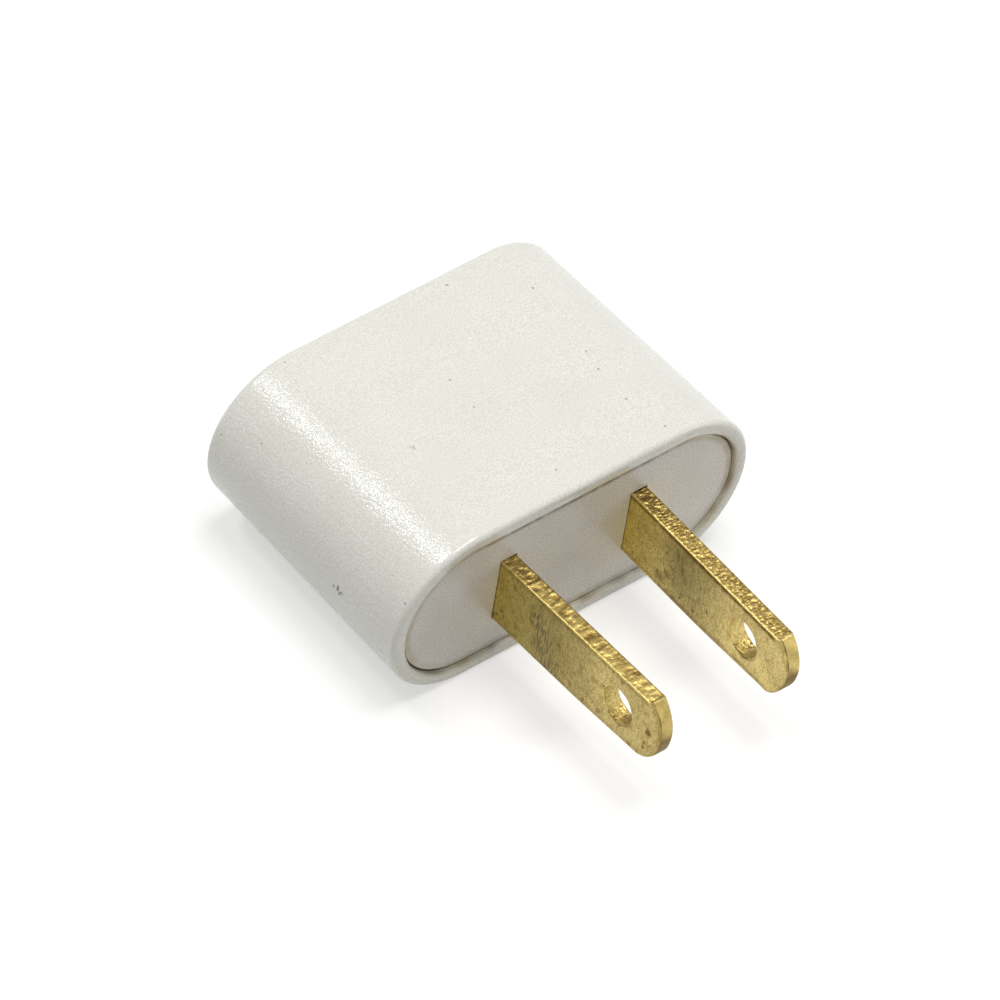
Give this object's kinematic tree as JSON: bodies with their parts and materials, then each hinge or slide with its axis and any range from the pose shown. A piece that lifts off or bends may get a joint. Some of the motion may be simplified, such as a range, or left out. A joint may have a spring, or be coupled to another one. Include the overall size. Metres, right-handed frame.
{
  "type": "plug adapter",
  "caption": "Flat travel plug adapter: a rounded plastic housing with round pin sockets at the back and flat brass blades at the front.",
  "frame": {"origin": "centre of the face plate's outer surface, midway between the blades", "axes": "-Y out of the face plate along the blades, +Y out of the pin sockets, +X along the long side of the rounded face, +Z out of the broad upper side"},
  "size_m": [0.0346, 0.0419, 0.0154],
  "materials": {
    "housing_plastic": "spark-eroded moulding, fine grain",
    "plate_plastic": "smooth satin moulding",
    "blade_brass": "stamped strip, dull and slightly stained",
    "contact_brass": "rolled spring strip",
    "rivet_brass": "turned"
  },
  "bodies": {
    "root": {"housing": "housing_plastic", "face_plate": "plate_plastic", "blade_left": "blade_brass", "blade_right": "blade_brass", "contact_left": "contact_brass", "contact_right": "contact_brass", "rivet_left_upper": "rivet_brass", "rivet_left_lower": "rivet_brass", "rivet_right_upper": "rivet_brass", "rivet_right_lower": "rivet_brass"}
  },
  "joints": []
}
